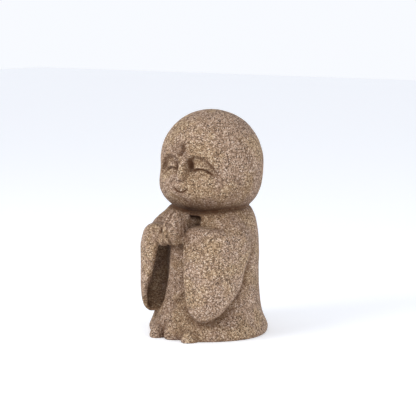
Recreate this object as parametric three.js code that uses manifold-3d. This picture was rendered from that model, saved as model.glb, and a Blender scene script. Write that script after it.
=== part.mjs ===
// A small stone jizo: a bald, smiling child monk who prays in a long-sleeved robe.
// Millimetres, +Z up, facing -Y, with the origin at the centre of the flat underside.
// The figure is one casting, so every form below is joined into one solid.
import * as THREE from "three";
import { LoftGeometry } from "three/addons/geometries/LoftGeometry.js";
import { mergeVertices } from "three/addons/utils/BufferGeometryUtils.js";
import Module from "manifold-3d";

const wasm = await Module();
wasm.setup();

// ---- Driving dimensions ------------------------------------------------------------------------
// Angles are in degrees. Round the body and the head, 0 is the front and +90 the figure's left.

const STONE = { color: 0x9c8062, roughness: 0.95, metalness: 0 };

const HEAD = { x: 0, y: 5, z: 153.5 }; // centre of the head
const SKULL = { width: 47, face: 44.5, back: 46, crown: 46.5, jaw: 47 }; // reach from that centre
const JAW_SQUARENESS = 2.8; // 2 is a round jaw, more is a fuller one

const URNA = { longitude: -2, latitude: 17.3, radius: 3.7, rise: 1.9 }; // the bead on the forehead
const BROW = { side: 19, latitude: 11.4, fall: 0.034, depth: 3.2 }; // the arch over each eye
const NOSE = { bridge: 5, tip: 7, height: 5.4, root: 12, end: -18 };
const EYE = { inner: 12, outer: 38.5, latitude: -8.2, arch: 3.6, droop: 3, groove: 0.95 };
const MOUTH = { reach: 9.4, latitude: -25.6, sag: 4.7, groove: 0.95 };

const SLEEVE_INNER_RADIUS = 38; // sunk in the robe
const SLEEVE_RADIUS = 47.5; // where the bag joins the side of the robe
const SLEEVE_SWELL = { angle: 46, spread: 30, height: 13.5 }; // how far the bag stands out
const CLOTH = 4.5; // thickness of the carved cloth at a cuff

const CHEST_RECESS = { angle: 27, depth: 7, z: 98 }; // behind the hands

const HAND = { x: 3.1, y: -48.5, z: 99, width: 5.2, depth: 11, length: 15.8 }; // one palm
const FOOT = { x: 17.7, y: -49, z: 2.5, width: 8, length: 9.5, height: 9.5 };

// Radius of the robe at each height: hem, column, shoulders, and the neck inside the head.
const ROBE_PROFILE = [
  [0, 53.6], [1.5, 54.6], [5, 54.8], [10, 52.8], [16, 50.2], [23, 48.2], [31, 47], [38, 46.5],
  [45, 46.1], [58, 46], [76, 46], [88, 45.4], [97, 44.2], [104, 42.6], [110, 40], [114, 37], [117, 30],
];

// ---- Helpers -----------------------------------------------------------------------------------

const radians = THREE.MathUtils.degToRad;
const degrees = THREE.MathUtils.radToDeg;
const smoothstep = THREE.MathUtils.smoothstep;
const bell = (distance, spread) => Math.exp(-((distance / spread) ** 2));

// A point at an angle round the vertical axis.
function around(angle, radius, z) {
  return new THREE.Vector3(radius * Math.sin(radians(angle)), -radius * Math.cos(radians(angle)), z);
}

// Sends every vertex of a geometry through a function.
function reshaped(geometry, place) {
  const position = geometry.getAttribute("position");
  const point = new THREE.Vector3();
  for (let i = 0; i < position.count; i++) {
    const moved = place(point.fromBufferAttribute(position, i));
    position.setXYZ(i, moved.x, moved.y, moved.z);
  }
  return geometry;
}

// A closed geometry as a solid, turned right side out if a mapping or a mirror has turned it round.
function solidOf(geometry) {
  const bare = new THREE.BufferGeometry();
  bare.setIndex(geometry.getIndex()).setAttribute("position", geometry.getAttribute("position"));
  const merged = mergeVertices(bare, 1e-4);
  const vertProperties = new Float32Array(merged.getAttribute("position").array);
  const triVerts = new Uint32Array(merged.getIndex().array);
  const solid = new wasm.Manifold(new wasm.Mesh({ numProp: 3, vertProperties, triVerts }));
  if (solid.volume() > 0) return solid;
  triVerts.reverse();
  return new wasm.Manifold(new wasm.Mesh({ numProp: 3, vertProperties, triVerts }));
}

const leftSide = (make) => solidOf(make());
const rightSide = (make) => solidOf(make().scale(-1, 1, 1));
const bothSides = (make) => leftSide(make).add(rightSide(make));

// ---- Head --------------------------------------------------------------------------------------

// What the face adds to the plain skull, in millimetres.
function faceRelief(longitude, latitude) {
  const side = Math.abs(longitude);
  const hollow = -1.6 * bell(side, 55) * bell(latitude + 6, 11);
  const cheek = 3 * bell(side - 46, 32) * bell(latitude + 31, 15);
  const muzzle = 3.2 * bell(side, 24) * bell(latitude + 30, 13);
  const chin = 1.6 * bell(side, 9) * bell(latitude + 44, 6);
  const underBrow = BROW.latitude - BROW.fall * (side - BROW.side) ** 2 - latitude;
  const besideNose = smoothstep(side, 3.5, 8.5);
  const fade = smoothstep(latitude, -21, -7) * (1 - smoothstep(side, 36, 60)) * besideNose;
  const socket = -BROW.depth * smoothstep(underBrow, -2.5, 5.5) * fade;
  const lid = 1.7 * bell(side - 24, 11) * bell(latitude + 1, 5);
  const corner = -2 * bell(side - 9.5, 3.5) * bell(latitude + 3, 7);
  const width = THREE.MathUtils.lerp(NOSE.bridge, NOSE.tip, smoothstep(-latitude, 0, 14));
  const length = smoothstep(latitude, NOSE.end, NOSE.end + 4) * (1 - smoothstep(latitude, -14, NOSE.root));
  const nose = NOSE.height * (1 - smoothstep(side, width - 3, width + 3)) * length;
  return hollow + cheek + muzzle + chin + socket + lid + corner + nose;
}

function headPoint(longitude, latitude, lift = 0) {
  const flat = Math.cos(radians(latitude));
  const up = Math.sin(radians(latitude));
  const forward = Math.cos(radians(longitude));
  const depth = forward > 0 ? SKULL.face : SKULL.back;
  const ring = Math.hypot(Math.sin(radians(longitude)) / SKULL.width, forward / depth);
  const power = up > 0 ? 2 : JAW_SQUARENESS;
  const height = up > 0 ? SKULL.crown : SKULL.jaw;
  const skull = ((flat * ring) ** power + (Math.abs(up) / height) ** power) ** (-1 / power);
  const reach = skull + faceRelief(longitude, latitude) + lift;
  return around(longitude, reach * flat, reach * up).add(HEAD);
}

// A unit sphere whose two halves mirror each other down to how each quad is split into triangles:
// on the figure's left, each is split along its other diagonal.
function symmetricGlobe(columns, rows) {
  const globe = new THREE.SphereGeometry(1, columns, rows);
  const index = globe.getIndex().array;
  const poleIndices = 3 * columns;
  for (let at = poleIndices; at < index.length - poleIndices; at += 6) {
    const column = ((at - poleIndices) / 6) % columns;
    if (column < columns / 4 || column >= (columns * 3) / 4) continue;
    const [a, b, , , c, d] = index.subarray(at, at + 6);
    index.set([a, b, c, a, c, d], at);
  }
  return globe;
}

// The head's meridians are closest together over the face, and its parallels at the equator.
function head() {
  const meridianCrowding = 0.55;
  const parallelCrowding = 0.22;
  return reshaped(symmetricGlobe(52, 29), (p) => {
    const turn = Math.atan2(p.x, -p.z);
    const rise = Math.asin(THREE.MathUtils.clamp(p.y, -1, 1));
    const longitude = degrees(turn - meridianCrowding * Math.sin(turn));
    const latitude = degrees(rise - parallelCrowding * Math.sin(2 * rise));
    return headPoint(longitude, latitude);
  });
}

function urna() {
  const centre = headPoint(URNA.longitude, URNA.latitude, URNA.rise - URNA.radius * 0.55);
  return new THREE.SphereGeometry(URNA.radius, 12, 8).scale(0.9, 0.8, 1.15).translate(...centre);
}

// The cutter for a carved line: a round bar along a path over the face.
function groove(path, radius) {
  const section = new THREE.Shape().absarc(0, 0, radius, 0, 2 * Math.PI);
  const extrudePath = new THREE.CatmullRomCurve3(path);
  return new THREE.ExtrudeGeometry(section, { extrudePath, steps: 8, curveSegments: 3, bevelEnabled: false });
}

// The left eye, closed: an arch that falls further at its outer end.
function eyeLine() {
  const path = [];
  for (let t = 0; t <= 1.001; t += 0.125) {
    const longitude = THREE.MathUtils.lerp(EYE.inner, EYE.outer, t);
    path.push(headPoint(longitude, EYE.latitude + EYE.arch * Math.sin(Math.PI * t) - EYE.droop * t * t));
  }
  return groove(path, EYE.groove);
}

function mouthLine() {
  const path = [];
  for (let t = -1; t <= 1.001; t += 0.25) {
    path.push(headPoint(t * MOUTH.reach, MOUTH.latitude - MOUTH.sag * (1 - t * t)));
  }
  return groove(path, MOUTH.groove);
}

// ---- Robe --------------------------------------------------------------------------------------

// The robe is flatter in front, and the chest is cut back behind the hands. Its hem rises and falls
// in soft lobes, and one fold runs down across the front between the sleeves.
function robeRadius(angle, z, column) {
  const front = Math.max(0, Math.cos(radians(angle))) ** 2;
  const chest = smoothstep(z, 12, 30) * 4.5 + smoothstep(z, 80, 100) * 6;
  const hem = 1 - smoothstep(z, 6, 30);
  const lobes = 0.6 * Math.sin(radians(angle * 5 + 20)) - 2.2 * bell(angle + 52, 24);
  const fold = 1.1 * bell(angle, 22) * bell(z - 37 - 0.4 * angle, 7);
  const behindHands = 1 - smoothstep(Math.abs(angle), CHEST_RECESS.angle - 7, CHEST_RECESS.angle);
  const recess = CHEST_RECESS.depth * behindHands * smoothstep(z, CHEST_RECESS.z - 5, CHEST_RECESS.z);
  return column - chest * front + lobes * hem + fold - recess;
}

function robe() {
  const sides = 54;
  const rings = ROBE_PROFILE.map(([z, column]) => {
    const ring = [];
    for (let i = 0; i < sides; i++) {
      const angle = (i * 360) / sides - 180;
      ring.push(around(angle, robeRadius(angle, z, column), z));
    }
    return ring;
  });
  return new LoftGeometry(rings, { capStart: true, capEnd: true });
}

function upperArm() {
  return new THREE.SphereGeometry(1, 18, 12).rotateX(Math.PI / 2).scale(23, 22, 27).translate(29, -14, 84);
}

// ---- Sleeves -----------------------------------------------------------------------------------

// A pillow wrapped round the body: its outline is a closed curve of [angle, height] points, and it
// is filled from an inner radius to an outer one with rounded edges. Its rings run from the middle
// of the outer face to the middle of the inner one, closest together on the outer face.
function wrappedPillow({ outline, innerRadius, outerRadius, squareness, sides, rings }) {
  const points = outline.map(([angle, z]) => new THREE.Vector3(angle, z, 0));
  const edge = new THREE.CatmullRomCurve3(points, true);
  const centre = points.reduce((sum, p) => sum.add(p), new THREE.Vector3()).divideScalar(points.length);
  return reshaped(new THREE.SphereGeometry(1, sides, rings), (p) => {
    const even = Math.acos(THREE.MathUtils.clamp(p.y, -1, 1));
    const fall = even - 0.5 * Math.sin(even);
    const across = Math.sin(fall);
    const along = Math.cos(fall);
    const swell = (across ** squareness + Math.abs(along) ** squareness) ** (-1 / squareness);
    const turn = (Math.atan2(p.z, p.x) / (2 * Math.PI) + 1) % 1;
    const place = edge.getPoint(turn).sub(centre).multiplyScalar(across * swell).add(centre);
    const depth = (along * swell + 1) / 2;
    return around(place.x, THREE.MathUtils.lerp(innerRadius, outerRadius(place.x, place.y), depth), place.y);
  });
}

// Outer radius of a sleeve, which swells over the forearm and draws in at its top and bottom.
function sleeveRadius(angle, z) {
  const swell = SLEEVE_SWELL.height * bell(angle - SLEEVE_SWELL.angle, SLEEVE_SWELL.spread);
  return SLEEVE_RADIUS + swell - 1.5 * (1 - smoothstep(z, 18, 45)) - 4 * smoothstep(z, 78, 100);
}

// A long sleeve, as a bag that hangs from the forearm.
function sleeve() {
  const outline = [
    [10, 84], [13, 97], [34, 100], [58, 97], [80, 90], [92, 78], [81, 62], [68, 39], [54, 25], [37, 18.5],
    [22, 22], [13, 36], [10.5, 60],
  ];
  const radii = { innerRadius: SLEEVE_INNER_RADIUS, outerRadius: sleeveRadius };
  return wrappedPillow({ outline, ...radii, squareness: 3.5, sides: 38, rings: 10 });
}

// The hollow inside a sleeve, between its outer cloth and the robe, which it reaches into.
function cuffHollow() {
  const outline = [
    [17, 90], [26, 93], [38, 88], [47, 62], [48, 40], [42, 27], [33, 24], [26, 38], [20, 58], [17, 75],
  ];
  const outerRadius = (angle, z) => sleeveRadius(angle, z) - CLOTH;
  return wrappedPillow({ outline, innerRadius: 37, outerRadius, squareness: 4, sides: 20, rings: 6 });
}

// The opening of a cuff: a slit in the front edge of the sleeve, beside the robe.
function cuffMouth() {
  const outline = [[5, 74], [12, 80], [24, 80], [25, 60], [24, 38], [15, 36], [6, 42], [4, 60]];
  const outerRadius = (angle, z) => sleeveRadius(angle, z) - CLOTH;
  return wrappedPillow({ outline, innerRadius: 30, outerRadius, squareness: 4, sides: 14, rings: 6 });
}

// The right cuff opens wider: its outer cloth is drawn back towards the elbow as it falls.
function cuffGape() {
  const outline = [
    [0, 101], [16, 103], [17, 92], [20.5, 77], [24.5, 63], [29, 50], [34, 40], [37, 29], [35, 16], [20, 8],
    [0, 14], [-8, 60],
  ];
  const outerRadius = () => 80; // past the bag
  return wrappedPillow({ outline, innerRadius: 20, outerRadius, squareness: 8, sides: 24, rings: 5 });
}

// ---- Hands and feet ----------------------------------------------------------------------------

// One of the two palms that meet in prayer, narrower at the fingertips.
function hand() {
  return reshaped(new THREE.SphereGeometry(1, 16, 12).rotateX(Math.PI / 2), (p) => {
    const taper = 1 - 0.25 * smoothstep(p.z, 0, 1);
    const x = HAND.x * taper + p.x * HAND.width * taper;
    return p.set(x, HAND.y + p.y * HAND.depth * taper, HAND.z + p.z * HAND.length);
  });
}

// A round-ended bar between two points.
function bar(from, to, radius) {
  const start = new THREE.Vector3(...from);
  const run = new THREE.Vector3(...to).sub(start);
  const turn = new THREE.Quaternion().setFromUnitVectors(new THREE.Vector3(0, 1, 0), run.clone().normalize());
  return new THREE.CapsuleGeometry(radius, run.length(), 4, 10)
    .applyQuaternion(turn)
    .translate(...start.addScaledVector(run, 0.5));
}

const thumb = () => bar([6, -39.5, 93], [3.5, -43, 107], 3.6);
const wrist = () => bar([5, -46, 91], [22, -42, 85], 6);

// Stone left between the thumbs and the chest.
const bridge = () => bar([0, -35, 86], [0, -34, 106], 5);

// A foot that shows under the hem, flat below.
function foot() {
  return reshaped(new THREE.SphereGeometry(1, 14, 10).rotateX(Math.PI / 2), (p) => {
    const z = Math.max(0, FOOT.z + p.z * FOOT.height);
    return p.set(FOOT.x + p.x * FOOT.width, FOOT.y + p.y * FOOT.length, z);
  });
}

// ---- The statue --------------------------------------------------------------------------------

function statue() {
  const leftSleeve = leftSide(sleeve).subtract(leftSide(cuffMouth));
  const rightSleeve = rightSide(sleeve).subtract(rightSide(cuffGape));
  const cloth = solidOf(robe()).add(bothSides(upperArm)).add(leftSleeve).add(rightSleeve);
  const arms = bothSides(wrist).add(bothSides(thumb)).add(bothSides(hand)).add(solidOf(bridge()));
  const lines = bothSides(eyeLine).add(solidOf(mouthLine()));
  const face = solidOf(head()).subtract(lines).add(solidOf(urna()));
  return cloth.subtract(bothSides(cuffHollow)).add(arms).add(bothSides(foot)).add(face);
}

function meshOf(solid) {
  const { vertProperties, triVerts } = solid.getMesh();
  const geometry = new THREE.BufferGeometry();
  geometry.setAttribute("position", new THREE.BufferAttribute(vertProperties, 3));
  geometry.setIndex(new THREE.BufferAttribute(triVerts, 1));
  geometry.computeVertexNormals();
  return new THREE.Mesh(geometry, new THREE.MeshStandardMaterial(STONE));
}

const figure = meshOf(statue());
figure.name = "jizo_statue";

const root = new THREE.Group();
root.add(figure);

export default root;
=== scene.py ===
# %% [markdown]
# # A small stone jizo
#
# A jizo is a childlike monk in stone. This one stands about 200 mm tall. It has a big bald head,
# a smile, closed eyes and hands that meet in prayer between two long sleeves. It is one casting,
# so the whole figure is one piece here too.
#
# The CAD model and this scene share one frame: +Z is up, and the figure looks towards -Y. Blender
# works in metres, and so does the studio below. The figure's own lengths are in millimetres, which
# suit its size, and they are turned into metres when the mesh is made.

import bmesh
import bpy
import numpy as np
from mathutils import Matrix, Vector, noise


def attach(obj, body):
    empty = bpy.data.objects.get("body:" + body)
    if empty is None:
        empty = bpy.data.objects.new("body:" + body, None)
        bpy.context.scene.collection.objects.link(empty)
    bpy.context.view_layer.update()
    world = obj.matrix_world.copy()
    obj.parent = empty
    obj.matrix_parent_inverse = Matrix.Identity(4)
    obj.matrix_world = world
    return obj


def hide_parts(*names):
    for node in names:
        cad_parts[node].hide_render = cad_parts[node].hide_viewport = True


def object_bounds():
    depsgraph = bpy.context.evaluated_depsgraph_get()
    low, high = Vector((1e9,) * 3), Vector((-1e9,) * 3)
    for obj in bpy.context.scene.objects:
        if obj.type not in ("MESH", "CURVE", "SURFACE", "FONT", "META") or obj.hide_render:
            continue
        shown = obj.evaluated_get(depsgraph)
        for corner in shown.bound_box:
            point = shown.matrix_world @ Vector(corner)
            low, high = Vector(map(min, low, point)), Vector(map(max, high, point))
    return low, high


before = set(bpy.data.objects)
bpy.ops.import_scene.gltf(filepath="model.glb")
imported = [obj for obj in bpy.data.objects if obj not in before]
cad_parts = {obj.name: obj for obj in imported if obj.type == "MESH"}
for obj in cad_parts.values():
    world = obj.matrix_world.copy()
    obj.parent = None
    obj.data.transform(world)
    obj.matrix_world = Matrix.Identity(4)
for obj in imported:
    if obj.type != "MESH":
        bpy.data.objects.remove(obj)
cad_box = [list(corner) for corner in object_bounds()]

MM = 0.001
LOW, HIGH = (np.array(corner) / MM for corner in cad_box)
print("CAD box in mm:", LOW.round(1), HIGH.round(1))

# %% [markdown]
# ## The camera
#
# A long lens from more than a metre away shows the figure in its true proportions, where a short
# lens close by would swell the head. The camera is a little above the ground and to the figure's
# left. Its place could be typed in as three coordinates, but a turn, a rise and a distance can be
# changed one at a time.

# %% Camera
CAMERA = {"turn": 37, "rise": 8, "distance": 1.3}
LENS = 125
AIM = Vector((0, 0, 0.1112))


def sight(turn, rise):
    """The direction from the figure to something at that turn and rise, in degrees."""
    turn, rise = np.radians(turn), np.radians(rise)
    return Vector((np.sin(turn) * np.cos(rise), -np.cos(turn) * np.cos(rise), np.sin(rise)))


def aimed(thing, turn, rise, distance):
    """Puts a camera or a lamp at that turn and rise, looking at the figure's middle."""
    direction = sight(turn, rise)
    thing.location = AIM + direction * distance
    thing.rotation_euler = direction.to_track_quat("Z", "Y").to_euler()
    bpy.context.scene.collection.objects.link(thing)
    return thing


camera_data = bpy.data.cameras.new("camera")
camera_data.lens = LENS
camera = aimed(bpy.data.objects.new("camera", camera_data), **CAMERA)
bpy.context.scene.camera = camera
print("camera at", [round(value, 3) for value in camera.location])

# %% [markdown]
# ## The light
#
# Outdoor light under thin cloud comes from everywhere, and a little more from one side. Two wide
# disc lamps and a bright sky give that. A bare point lamp would draw a hard black shadow in every
# pore of the stone. The sky is brightest near the ground and dimmer overhead, so that the crown
# and the shoulders don't glare.

# %% Lamps
WARM = (1, 0.98, 0.95)


def lamp(name, turn, rise, distance, size, power):
    """A round lamp of that size in metres and power in watts."""
    data = bpy.data.lights.new(name, "AREA")
    data.shape = "DISK"
    data.size = size
    data.energy = power
    data.color = WARM
    return aimed(bpy.data.objects.new(name, data), turn, rise, distance)


key = lamp("key", turn=-22, rise=32, distance=1.2, size=0.6, power=7)
fill = lamp("fill", turn=80, rise=20, distance=1.4, size=1.0, power=5)
print("lamps:", key.name, fill.name)

# %% Sky
SKY = (0.94, 0.96, 1.0)
SKY_OVERHEAD = (0.55, 0.56, 0.6)
SKY_DIMS_FROM = 0.15  # height of the line of sight: 0 is level and 1 is straight up

world = bpy.data.worlds.new("studio")
world.use_nodes = True
sky = world.node_tree.nodes.new("ShaderNodeValToRGB")
sky.color_ramp.elements[0].position = SKY_DIMS_FROM
sky.color_ramp.elements[0].color = (*SKY, 1)
sky.color_ramp.elements[1].color = (*SKY_OVERHEAD, 1)
way_up = world.node_tree.nodes.new("ShaderNodeSeparateXYZ")
looking = world.node_tree.nodes.new("ShaderNodeTexCoord")
world.node_tree.links.new(looking.outputs["Generated"], way_up.inputs[0])
world.node_tree.links.new(way_up.outputs["Z"], sky.inputs["Fac"])
world.node_tree.links.new(sky.outputs["Color"], world.node_tree.nodes["Background"].inputs["Color"])
bpy.context.scene.world = world
bpy.context.scene.view_settings.view_transform = "Standard"
print("sky:", SKY, "and overhead:", SKY_OVERHEAD)

# %% [markdown]
# ## The floor
#
# The figure stands on a wide pale floor. Under the dimmer sky a white floor would turn grey, so it
# glows faintly. It is then a little brighter than the sky behind it, and its far edge shows as a
# faint line.

# %% Floor
FLOOR = {"reach": 4.0, "colour": (0.93, 0.95, 0.98), "roughness": 0.8}
GLOW = {"colour": (0.97, 0.98, 1), "strength": 0.22}

far = FLOOR["reach"]
floor_corners = [(-far, -far, 0), (far, -far, 0), (far, far, 0), (-far, far, 0)]
floor_data = bpy.data.meshes.new("floor")
floor_data.from_pydata(floor_corners, [], [(0, 1, 2, 3)])
floor_paint = bpy.data.materials.new("floor_paint")
floor_paint.use_nodes = True
paint = floor_paint.node_tree.nodes["Principled BSDF"].inputs
paint["Base Color"].default_value = (*FLOOR["colour"], 1)
paint["Roughness"].default_value = FLOOR["roughness"]
paint["Emission Color"].default_value = (*GLOW["colour"], 1)
paint["Emission Strength"].default_value = GLOW["strength"]
floor_data.materials.append(floor_paint)
floor = bpy.data.objects.new("floor", floor_data)
bpy.context.scene.collection.objects.link(floor)
print("floor of", 2 * far, "m")

# %% [markdown]
# ## How the figure is made
#
# A stone figure has no seams: the head sinks into the shoulders, and the sleeves grow out of the
# robe. Separate spheres and tubes would meet in sharp, machine-like lines. So each form is
# written as a *distance field*: a function that says how far a point is from the form, and that
# is below zero inside it. Fields can be joined with a fillet or cut with a soft edge, in one line
# each. At the end, one mesh is spread over the place where the joined field is zero.
#
# Two curves shape nearly everything: a soft step, and a bell.

# %% Soft steps and bells
def smoothstep(x, low, high):
    """0 up to low, 1 from high on, and an S-curve between them."""
    t = np.clip((x - low) / (high - low), 0, 1)
    return t * t * (3 - 2 * t)


def bell(distance, spread):
    """1 at no distance, and almost 0 from two spreads on."""
    return np.exp(-((distance / spread) ** 2))


print("a bell at 0, 1 and 2 spreads:", bell(np.arange(3), 1).round(2))

# %% [markdown]
# ## Joins and cuts
#
# The lower of two distances belongs to the two forms as one, and the higher to what lies inside
# both. Taken alone, they leave a sharp crease. A small amount is added or taken away where the
# two distances are nearly equal, which is just where the forms meet, and that rounds the crease.

# %% Joins and cuts
def joined(a, b, fillet):
    """The two forms as one, with a fillet of about that width where they meet."""
    near = np.maximum(fillet - np.abs(a - b), 0) / fillet
    return np.minimum(a, b) - near * near * fillet / 4


def cut(form, tool, softness):
    """The form without the tool, with a new edge that is soft over about that width."""
    return -joined(-form, tool, softness)


def rounded_meet(a, b, radius):
    """What lies inside both forms, with its edge rounded to that radius."""
    a, b = a + radius, b + radius
    return np.minimum(np.maximum(a, b), 0) + np.hypot(np.maximum(a, 0), np.maximum(b, 0)) - radius


print("two forms 1 mm away, joined with a fillet of 4 mm:", joined(1.0, 1.0, 4), "mm away")

# %% [markdown]
# ## Places, balls and bars
#
# A robed figure is nearly round, so its places are easiest to give as a turn about its axis and a
# height. A stretched ball and a round-ended bar are the only solid shapes that the hands, the feet
# and the upper arms need.

# %% Places round the body
def turn_of(x, y):
    """Degrees round the body: 0 is the front and +90 is the figure's left."""
    return np.degrees(np.arctan2(x, -y))


def around(turn, radius, z):
    """The points at that turn, that far from the body's axis, at height z."""
    turn = np.radians(turn)
    height = np.broadcast_to(z, np.shape(turn))
    return np.stack([radius * np.sin(turn), -radius * np.cos(turn), height], -1)


print("the figure's left, 50 mm out:", around(90, 50, 0).round(1))

# %% Balls and bars
def ellipsoid(x, y, z, centre, radii):
    """A ball with its own radius along each axis. The distance is exact only near its surface."""
    parts = [(value - middle) / radius for value, middle, radius in zip((x, y, z), centre, radii)]
    size = np.sqrt(sum(part**2 for part in parts))
    slope = np.sqrt(sum((part / radius) ** 2 for part, radius in zip(parts, radii)))
    return size * (size - 1) / np.maximum(slope, 1e-6)


def bar(x, y, z, start, end, radius):
    """A round-ended bar from start to end."""
    run = np.subtract(end, start).astype(float)
    gap = [x - start[0], y - start[1], z - start[2]]
    along = np.clip(sum(g * r for g, r in zip(gap, run)) / (run @ run), 0, 1)
    return np.sqrt(sum((g - along * r) ** 2 for g, r in zip(gap, run))) - radius


print("10 mm beside a bar of radius 3:", bar(10, 0, 5, (0, 0, 0), (0, 0, 9), 3), "mm away")

# %% [markdown]
# ## Curves through chosen points
#
# The robe's profile and the sleeves' outlines are given by a few points, as on a maker's drawing.
# Straight lines between them would show as facets, so a smooth curve is led through them. A
# Bezier curve would do too, but it needs handles, and this one needs the points alone.

# %% A smooth curve
def curve_through(points, steps=10, closed=False):
    """A smooth curve through the points (a Catmull-Rom curve), as many small steps."""
    points = np.array(points, float)
    if closed:
        ring = np.vstack([points[-1], points, points[:2]])
    else:
        ring = np.vstack([2 * points[0] - points[1], points, 2 * points[-1] - points[-2]])
    made = []
    for a, b, c, d in zip(ring, ring[1:], ring[2:], ring[3:]):
        bend = 2 * a - 5 * b + 4 * c - d
        twist = 3 * b - 3 * c + d - a
        for t in np.arange(steps) / steps:
            made.append(0.5 * (2 * b + (c - a) * t + bend * t**2 + twist * t**3))
    if not closed:
        made.append(points[-1])
    return np.array(made)


square = [[0, 0], [1, 0], [1, 1], [0, 1]]
print("a curve through a square's corners has", len(curve_through(square, closed=True)), "points")

# %% [markdown]
# ## The head
#
# The head is almost a ball, a little flat in front and full at the jaw. A plain sphere would look
# machine-made, so it has a reach of its own to the side, the front, the back, the crown and the
# jaw. Below the middle, its outline is squarer than a circle, which fills out the cheeks.

# %% Skull
HEAD = np.array([0, 5, 153.5])
SKULL = {"width": 47, "face": 44.5, "back": 46, "crown": 46.5, "jaw": 47}
JAW_SQUARENESS = 2.8  # 2 is a plain ellipse, and more is squarer


def skull_reach(dx, dy, dz):
    """How far the plain skull reaches from its centre in a direction, and the direction's length."""
    away = np.sqrt(dx**2 + dy**2 + dz**2) + 1e-9
    depth = np.where(dy < 0, SKULL["face"], SKULL["back"])
    ring = np.hypot(dx / SKULL["width"], dy / depth)
    upper = np.hypot(ring, dz / SKULL["crown"])
    squared = ring**JAW_SQUARENESS + (np.abs(dz) / SKULL["jaw"]) ** JAW_SQUARENESS
    lower = squared ** (1 / JAW_SQUARENESS)
    return away / np.where(dz > 0, upper, lower), away


print("the skull reaches", skull_reach(0.0, -1.0, 0.0)[0].round(1), "mm forward")

# %% [markdown]
# ## The face
#
# The face is low relief, so it is written as millimetres to add to the skull at each longitude and
# latitude, in degrees from the middle of the face. Most of it is a sum of soft swellings and
# hollows. Sculpting by hand would do as well, but a sum of bells can be tuned one feature at a
# time. The brows have a firm upper edge and the nose widens downwards, so each has its own formula.
# A pair of numbers in these tables is where a soft step begins and where it ends.

# %% Face
SWELLINGS = {  # height in mm, then middle and spread to the side, then middle and spread upwards
    "hollow across the eyes": (-1.6, 0, 55, -6, 11),
    "cheeks": (3, 46, 32, -31, 15),
    "round of the mouth": (3.2, 0, 24, -30, 13),
    "chin": (1.6, 0, 9, -44, 6),
    "lids": (1.7, 24, 11, -1, 5),
    "inner corners of the eyes": (-3.5, 10, 3.6, -2, 7.5),
    "tip of the nose": (1.5, 0, 5, -14.5, 4),
}
BROW = {"side": 19, "latitude": 11.4, "fall": 0.03}
SOCKET = {"depth": 4.4, "edge": (-1.5, 4.5), "foot": (-21, -7), "outside": (36, 60), "inside": (3.5, 8.5)}
NOSE = {"height": 4.6, "bridge": 4.4, "tip": 7.2, "widens": (-2, 15), "root": (-14, 12)}
NOSE["end"] = (-18.5, -12.5)


def swellings(side, latitude):
    """The face's soft swellings and hollows."""
    total = 0
    for height, out, out_spread, up, up_spread in SWELLINGS.values():
        total = total + height * bell(side - out, out_spread) * bell(latitude - up, up_spread)
    return total


def brow_line(side):
    """The latitude of the brow's edge, which falls away to both sides of its highest place."""
    return BROW["latitude"] - BROW["fall"] * (side - BROW["side"]) ** 2


def eye_socket(side, latitude):
    """The hollow under a brow: a firm edge above, and a fade down, outwards and to the nose."""
    firm_edge = smoothstep(brow_line(side) - latitude, *SOCKET["edge"])
    fade = smoothstep(latitude, *SOCKET["foot"]) * (1 - smoothstep(side, *SOCKET["outside"]))
    fade = fade * smoothstep(side, *SOCKET["inside"])
    return -SOCKET["depth"] * firm_edge * fade


def nose(side, latitude):
    """A ridge that rises slowly from the root, widens to the tip and ends quickly."""
    width = NOSE["bridge"] + (NOSE["tip"] - NOSE["bridge"]) * smoothstep(-latitude, *NOSE["widens"])
    above_end = smoothstep(latitude, *NOSE["end"])
    below_root = 1 - smoothstep(latitude, *NOSE["root"])
    return NOSE["height"] * bell(side, width) * (above_end * below_root)


def face_relief(longitude, latitude):
    """Millimetres to add to the skull."""
    side = np.abs(longitude)
    return swellings(side, latitude) + eye_socket(side, latitude) + nose(side, latitude)


print("relief on the nose and in a socket:", face_relief(np.array([0, 12]), np.array([-12, 4])).round(1))

# %% Head
def head(x, y, z):
    """The head with its face."""
    dx, dy, dz = x - HEAD[0], y - HEAD[1], z - HEAD[2]
    reach, away = skull_reach(dx, dy, dz)
    longitude = turn_of(dx, dy)
    latitude = np.degrees(np.arcsin(np.clip(dz / away, -1, 1)))
    return away - reach - face_relief(longitude, latitude)


def head_point(longitude, latitude, lift=0):
    """The place at that longitude and latitude on the face, or that lift above it."""
    flat, up = np.cos(np.radians(latitude)), np.sin(np.radians(latitude))
    direction = around(longitude, flat, up)
    reach, _ = skull_reach(*np.moveaxis(direction, -1, 0))
    reach = reach + face_relief(longitude, latitude) + lift
    return HEAD + direction * reach[..., None]


print("tip of the nose at", head_point(0, -14.5).round(1))

# %% [markdown]
# ## The bead on the forehead
#
# A small bead between the brows marks a holy figure. It could be a separate ball, but here it is
# stone like the rest, so it is one more form for the head to join. A little taller than wide, it
# stands out by about two thirds of its size.

# %% Bead
BEAD = {"longitude": -2, "latitude": 17.3, "lift": 1.265, "radius": 3.7, "shape": (0.9, 0.8, 1.15)}
bead_centre = head_point(BEAD["longitude"], BEAD["latitude"], BEAD["lift"])
bead_radii = BEAD["radius"] * np.array(BEAD["shape"])
print("bead at", bead_centre.round(1), "with radii", bead_radii.round(1))

# %% [markdown]
# ## Outlines drawn round the body
#
# Each sleeve is a flat bag of cloth that hangs from the forearm and lies round the side of the
# robe. Its outline is drawn as if the cloth were laid flat: degrees round the body one way, and
# millimetres of height the other. The distance to the outline is worked out once for a grid of
# places and then looked up, because the outline has many small steps and the mesh has many points.

# %% Maps of an outline
MM_PER_DEGREE = 0.87  # along the surface of the robe
MAP_TURNS = np.arange(-60, 150, 1.0)
MAP_HEIGHTS = np.arange(-10, 140, 1.0)


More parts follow.
